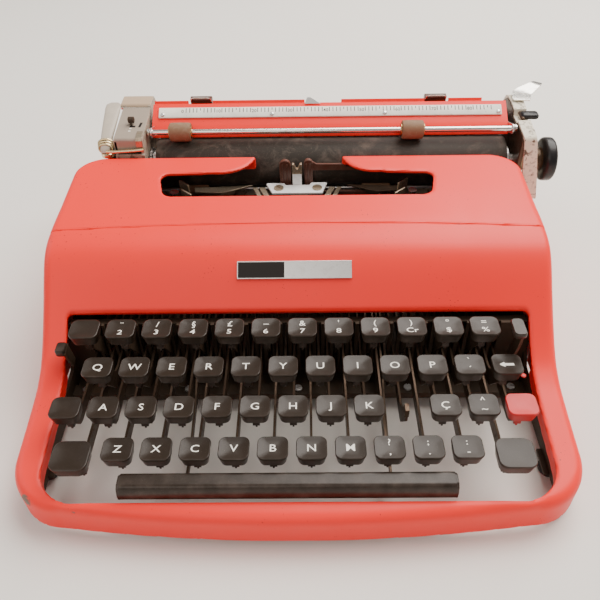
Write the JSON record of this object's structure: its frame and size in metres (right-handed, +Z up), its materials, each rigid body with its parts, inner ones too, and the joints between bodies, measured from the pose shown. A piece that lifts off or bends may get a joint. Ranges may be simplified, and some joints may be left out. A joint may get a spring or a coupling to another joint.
{
  "type": "typewriter",
  "caption": "Portable mechanical typewriter: rounded metal shell, four rows of square keys, type basket under a lift-off cover, and a sliding carriage with rubber platen.",
  "frame": {"origin": "bottom centre of the whole object's box, on the surface it stands on", "axes": "+X to the typist's right, +Y from the keyboard to the back, +Z up"},
  "size_m": [0.3306, 0.3198, 0.1078],
  "materials": {
    "red_paint": "satin enamel, chipped at the corners",
    "dark_plastic": "satin",
    "red_plastic": "satin",
    "bright_metal": "worn polish",
    "steel": "plated, dull",
    "dark_metal": "blackened",
    "grey_paint": "chipped enamel",
    "black_rubber": "matt",
    "brown_rubber": "matt",
    "cream_plastic": "satin"
  },
  "bodies": {
    "frame": {"body_shell": "red_paint", "chassis": "dark_metal", "carriage_rail": "steel", "foot_front_left": "black_rubber", "foot_front_right": "black_rubber", "foot_rear_left": "black_rubber", "foot_rear_right": "black_rubber"},
    "carriage": {"carriage_frame": "grey_paint", "left_end_plate": "grey_paint", "right_end_plate": "grey_paint", "paper_table": "red_paint", "paper_scale": "cream_plastic"},
    "platen": {"platen": "black_rubber", "platen_knob": "dark_plastic"},
    "type_basket": {"type_segment": "steel", "type_bars": "steel"},
    "ribbon_cover": {"ribbon_cover": "red_paint"},
    "paper_bail": {"paper_bail": "bright_metal"},
    "bail_roller_left": {"bail_roller_left": "brown_rubber"},
    "bail_roller_right": {"bail_roller_right": "brown_rubber"},
    "return_lever": {"return_lever": "bright_metal"},
    "line_space_lever": {"line_space_lever": "dark_metal"},
    "paper_release_lever": {"paper_release_lever": "bright_metal"},
    "carriage_release_lever": {"carriage_release_lever": "dark_metal"},
    "margin_stop_left": {"margin_stop_left": "brown_rubber"},
    "margin_stop_right": {"margin_stop_right": "brown_rubber"},
    "ribbon_spool_left": {"ribbon_spool_left": "dark_metal"},
    "ribbon_spool_right": {"ribbon_spool_right": "dark_metal"},
    "ribbon_vibrator": {"ribbon_vibrator": "dark_plastic"},
    "ribbon_colour_lever": {"ribbon_colour_lever": "dark_plastic"},
    "tab_set_lever": {"tab_set_lever": "dark_plastic"},
    "space_bar": {"space_bar": "dark_plastic"},
    "shift_keys": {"shift_keys": "dark_plastic"},
    "shift_lock_key": {"shift_lock_key": "dark_plastic"},
    "backspace_key": {"backspace_key": "dark_plastic"},
    "tab_key": {"tab_key": "red_plastic"},
    "margin_release_key": {"margin_release_key": "dark_plastic"},
    "number_row_keys": {"number_row_keys": "dark_plastic"},
    "letter_row_keys": {"letter_row_keys": "dark_plastic"},
    "key_a": {"key_a": "dark_plastic"},
    "key_s": {"key_s": "dark_plastic"},
    "key_d": {"key_d": "dark_plastic"},
    "key_f": {"key_f": "dark_plastic"},
    "key_g": {"key_g": "dark_plastic"},
    "key_h": {"key_h": "dark_plastic"},
    "key_j": {"key_j": "dark_plastic"},
    "key_k": {"key_k": "dark_plastic"},
    "key_l": {"key_l": "dark_plastic"},
    "key_accent": {"key_accent": "dark_plastic"},
    "key_circumflex": {"key_circumflex": "dark_plastic"},
    "key_z": {"key_z": "dark_plastic"},
    "key_x": {"key_x": "dark_plastic"},
    "key_c": {"key_c": "dark_plastic"},
    "key_v": {"key_v": "dark_plastic"},
    "key_b": {"key_b": "dark_plastic"},
    "key_n": {"key_n": "dark_plastic"},
    "key_m": {"key_m": "dark_plastic"},
    "key_comma": {"key_comma": "dark_plastic"},
    "key_period": {"key_period": "dark_plastic"},
    "key_hyphen": {"key_hyphen": "dark_plastic"}
  },
  "joints": [
    {"name": "carriage_travel", "type": "slide", "parent": "frame", "child": "carriage", "axis": [1, 0, 0], "range_m": [-0.132, 0.078]},
    {"name": "platen_turn", "type": "hinge", "parent": "carriage", "child": "platen", "pos_m": [0.0073, 0.0939, 0.072], "axis": [1, 0, 0], "continuous": true},
    {"name": "paper_bail_lift", "type": "hinge", "parent": "carriage", "child": "paper_bail", "pos_m": [0.0073, 0.1199, 0.086], "axis": [-1, 0, 0], "range_deg": [0, 14]},
    {"name": "bail_roller_left_turn", "type": "hinge", "parent": "paper_bail", "child": "bail_roller_left", "pos_m": [-0.0977, 0.0934, 0.0966], "axis": [1, 0, 0], "continuous": true},
    {"name": "bail_roller_right_turn", "type": "hinge", "parent": "paper_bail", "child": "bail_roller_right", "pos_m": [0.0633, 0.0934, 0.0966], "axis": [1, 0, 0], "continuous": true},
    {"name": "return_lever_swing", "type": "hinge", "parent": "carriage", "child": "return_lever", "pos_m": [-0.1477, 0.0809, 0.09], "axis": [0, 0, 1], "range_deg": [0, 120]},
    {"name": "line_space_select", "type": "hinge", "parent": "carriage", "child": "line_space_lever", "pos_m": [-0.1317, 0.0944, 0.1013], "axis": [1, 0, 0], "range_deg": [-10, 10]},
    {"name": "paper_release_pull", "type": "hinge", "parent": "carriage", "child": "paper_release_lever", "pos_m": [0.1443, 0.1199, 0.1053], "axis": [1, 0, 0], "range_deg": [0, 35]},
    {"name": "carriage_release_press", "type": "hinge", "parent": "carriage", "child": "carriage_release_lever", "pos_m": [0.1408, 0.1044, 0.1], "axis": [0, 1, 0], "range_deg": [0, 12], "stiffness_Nm_per_rad": 0.08, "springref_deg": -5.73},
    {"name": "margin_stop_left_slide", "type": "slide", "parent": "carriage", "child": "margin_stop_left", "axis": [1, 0, 0], "range_m": [-0.026, 0.07]},
    {"name": "margin_stop_right_slide", "type": "slide", "parent": "carriage", "child": "margin_stop_right", "axis": [1, 0, 0], "range_m": [-0.078, 0.044]},
    {"name": "ribbon_cover_lift", "type": "slide", "parent": "frame", "child": "ribbon_cover", "axis": [0, 0, 1], "range_m": [0, 0.06]},
    {"name": "ribbon_spool_left_turn", "type": "hinge", "parent": "frame", "child": "ribbon_spool_left", "pos_m": [-0.1247, 0.0359, 0.06], "axis": [0, 0, 1], "continuous": true},
    {"name": "ribbon_spool_right_turn", "type": "hinge", "parent": "frame", "child": "ribbon_spool_right", "pos_m": [0.0913, 0.0359, 0.06], "axis": [0, 0, 1], "continuous": true},
    {"name": "ribbon_vibrator_lift", "type": "slide", "parent": "frame", "child": "ribbon_vibrator", "axis": [0, 0, 1], "range_m": [0, 0.007], "stiffness_N_per_m": 60, "springref_m": -0.004},
    {"name": "ribbon_colour_select", "type": "hinge", "parent": "frame", "child": "ribbon_colour_lever", "pos_m": [0.1022, -0.0691, 0.034], "axis": [1, 0, 0], "range_deg": [-7, 7]},
    {"name": "tab_set_tilt", "type": "hinge", "parent": "frame", "child": "tab_set_lever", "pos_m": [-0.1472, -0.0651, 0.035], "axis": [1, 0, 0], "range_deg": [-8, 8]},
    {"name": "basket_shift", "type": "slide", "parent": "frame", "child": "type_basket", "axis": [0, 0, -1], "range_m": [0, 0.0065]},
    {"name": "key_a_press", "type": "hinge", "parent": "frame", "child": "key_a", "pos_m": [-0.1174, 0.0779, 0.027], "axis": [1, 0, 0], "range_deg": [0, 3.7], "stiffness_Nm_per_rad": 0.8, "springref_deg": -6.88},
    {"name": "key_s_press", "type": "hinge", "parent": "frame", "child": "key_s", "pos_m": [-0.09768, 0.0779, 0.027], "axis": [1, 0, 0], "range_deg": [0, 3.7], "stiffness_Nm_per_rad": 0.8, "springref_deg": -6.88},
    {"name": "key_d_press", "type": "hinge", "parent": "frame", "child": "key_d", "pos_m": [-0.07796, 0.0779, 0.027], "axis": [1, 0, 0], "range_deg": [0, 3.7], "stiffness_Nm_per_rad": 0.8, "springref_deg": -6.88},
    {"name": "key_f_press", "type": "hinge", "parent": "frame", "child": "key_f", "pos_m": [-0.05824, 0.0779, 0.027], "axis": [1, 0, 0], "range_deg": [0, 3.7], "stiffness_Nm_per_rad": 0.8, "springref_deg": -6.88},
    {"name": "key_g_press", "type": "hinge", "parent": "frame", "child": "key_g", "pos_m": [-0.03852, 0.0779, 0.027], "axis": [1, 0, 0], "range_deg": [0, 3.7], "stiffness_Nm_per_rad": 0.8, "springref_deg": -6.88},
    {"name": "key_h_press", "type": "hinge", "parent": "frame", "child": "key_h", "pos_m": [-0.0188, 0.0779, 0.027], "axis": [1, 0, 0], "range_deg": [0, 3.7], "stiffness_Nm_per_rad": 0.8, "springref_deg": -6.88},
    {"name": "key_j_press", "type": "hinge", "parent": "frame", "child": "key_j", "pos_m": [0.00092, 0.0779, 0.027], "axis": [1, 0, 0], "range_deg": [0, 3.7], "stiffness_Nm_per_rad": 0.8, "springref_deg": -6.88},
    {"name": "key_k_press", "type": "hinge", "parent": "frame", "child": "key_k", "pos_m": [0.02064, 0.0779, 0.027], "axis": [1, 0, 0], "range_deg": [0, 3.7], "stiffness_Nm_per_rad": 0.8, "springref_deg": -6.88},
    {"name": "key_l_press", "type": "hinge", "parent": "frame", "child": "key_l", "pos_m": [0.04036, 0.0779, 0.027], "axis": [1, 0, 0], "range_deg": [0, 3.7], "stiffness_Nm_per_rad": 0.8, "springref_deg": -6.88},
    {"name": "key_accent_press", "type": "hinge", "parent": "frame", "child": "key_accent", "pos_m": [0.06008, 0.0779, 0.027], "axis": [1, 0, 0], "range_deg": [0, 3.7], "stiffness_Nm_per_rad": 0.8, "springref_deg": -6.88},
    {"name": "key_circumflex_press", "type": "hinge", "parent": "frame", "child": "key_circumflex", "pos_m": [0.0798, 0.0779, 0.027], "axis": [1, 0, 0], "range_deg": [0, 3.7], "stiffness_Nm_per_rad": 0.8, "springref_deg": -6.88},
    {"name": "key_z_press", "type": "hinge", "parent": "frame", "child": "key_z", "pos_m": [-0.108, 0.0779, 0.027], "axis": [1, 0, 0], "range_deg": [0, 3.3], "stiffness_Nm_per_rad": 0.8, "springref_deg": -6.88},
    {"name": "key_x_press", "type": "hinge", "parent": "frame", "child": "key_x", "pos_m": [-0.08828, 0.0779, 0.027], "axis": [1, 0, 0], "range_deg": [0, 3.3], "stiffness_Nm_per_rad": 0.8, "springref_deg": -6.88},
    {"name": "key_c_press", "type": "hinge", "parent": "frame", "child": "key_c", "pos_m": [-0.06856, 0.0779, 0.027], "axis": [1, 0, 0], "range_deg": [0, 3.3], "stiffness_Nm_per_rad": 0.8, "springref_deg": -6.88},
    {"name": "key_v_press", "type": "hinge", "parent": "frame", "child": "key_v", "pos_m": [-0.04884, 0.0779, 0.027], "axis": [1, 0, 0], "range_deg": [0, 3.3], "stiffness_Nm_per_rad": 0.8, "springref_deg": -6.88},
    {"name": "key_b_press", "type": "hinge", "parent": "frame", "child": "key_b", "pos_m": [-0.02912, 0.0779, 0.027], "axis": [1, 0, 0], "range_deg": [0, 3.3], "stiffness_Nm_per_rad": 0.8, "springref_deg": -6.88},
    {"name": "key_n_press", "type": "hinge", "parent": "frame", "child": "key_n", "pos_m": [-0.0094, 0.0779, 0.027], "axis": [1, 0, 0], "range_deg": [0, 3.3], "stiffness_Nm_per_rad": 0.8, "springref_deg": -6.88},
    {"name": "key_m_press", "type": "hinge", "parent": "frame", "child": "key_m", "pos_m": [0.01032, 0.0779, 0.027], "axis": [1, 0, 0], "range_deg": [0, 3.3], "stiffness_Nm_per_rad": 0.8, "springref_deg": -6.88},
    {"name": "key_comma_press", "type": "hinge", "parent": "frame", "child": "key_comma", "pos_m": [0.03004, 0.0779, 0.027], "axis": [1, 0, 0], "range_deg": [0, 3.3], "stiffness_Nm_per_rad": 0.8, "springref_deg": -6.88},
    {"name": "key_period_press", "type": "hinge", "parent": "frame", "child": "key_period", "pos_m": [0.04976, 0.0779, 0.027], "axis": [1, 0, 0], "range_deg": [0, 3.3], "stiffness_Nm_per_rad": 0.8, "springref_deg": -6.88},
    {"name": "key_hyphen_press", "type": "hinge", "parent": "frame", "child": "key_hyphen", "pos_m": [0.06948, 0.0779, 0.027], "axis": [1, 0, 0], "range_deg": [0, 3.3], "stiffness_Nm_per_rad": 0.8, "springref_deg": -6.88},
    {"name": "number_row_press", "type": "hinge", "parent": "frame", "child": "number_row_keys", "pos_m": [-0.0137, 0.0779, 0.027], "axis": [1, 0, 0], "range_deg": [0, 4.6], "stiffness_Nm_per_rad": 6, "springref_deg": -6.88},
    {"name": "letter_row_press", "type": "hinge", "parent": "frame", "child": "letter_row_keys", "pos_m": [-0.024, 0.0779, 0.027], "axis": [1, 0, 0], "range_deg": [0, 4.1], "stiffness_Nm_per_rad": 6, "springref_deg": -6.88},
    {"name": "margin_release_press", "type": "hinge", "parent": "frame", "child": "margin_release_key", "pos_m": [-0.13202, 0.0779, 0.027], "axis": [1, 0, 0], "range_deg": [0, 4.6], "stiffness_Nm_per_rad": 0.8, "springref_deg": -6.88},
    {"name": "backspace_press", "type": "hinge", "parent": "frame", "child": "backspace_key", "pos_m": [0.09432, 0.0779, 0.027], "axis": [1, 0, 0], "range_deg": [0, 4.1], "stiffness_Nm_per_rad": 0.8, "springref_deg": -6.88},
    {"name": "shift_lock_press", "type": "hinge", "parent": "frame", "child": "shift_lock_key", "pos_m": [-0.13712, 0.0779, 0.027], "axis": [1, 0, 0], "range_deg": [0, 3.7], "stiffness_Nm_per_rad": 0.8, "springref_deg": -6.88},
    {"name": "tab_press", "type": "hinge", "parent": "frame", "child": "tab_key", "pos_m": [0.09952, 0.0779, 0.027], "axis": [1, 0, 0], "range_deg": [0, 3.7], "stiffness_Nm_per_rad": 0.8, "springref_deg": -6.88},
    {"name": "shift_press", "type": "hinge", "parent": "frame", "child": "shift_keys", "pos_m": [-0.0192, 0.0779, 0.027], "axis": [1, 0, 0], "range_deg": [0, 2.45], "stiffness_Nm_per_rad": 3, "springref_deg": -8.59},
    {"name": "space_bar_press", "type": "hinge", "parent": "frame", "child": "space_bar", "pos_m": [-0.0217, 0.0779, 0.027], "axis": [1, 0, 0], "range_deg": [0, 2.1], "stiffness_Nm_per_rad": 3, "springref_deg": -6.88}
  ],
  "couplings": [
    {"joint": "basket_shift", "follows": "shift_press", "m_per_rad": 0.14967}
  ]
}
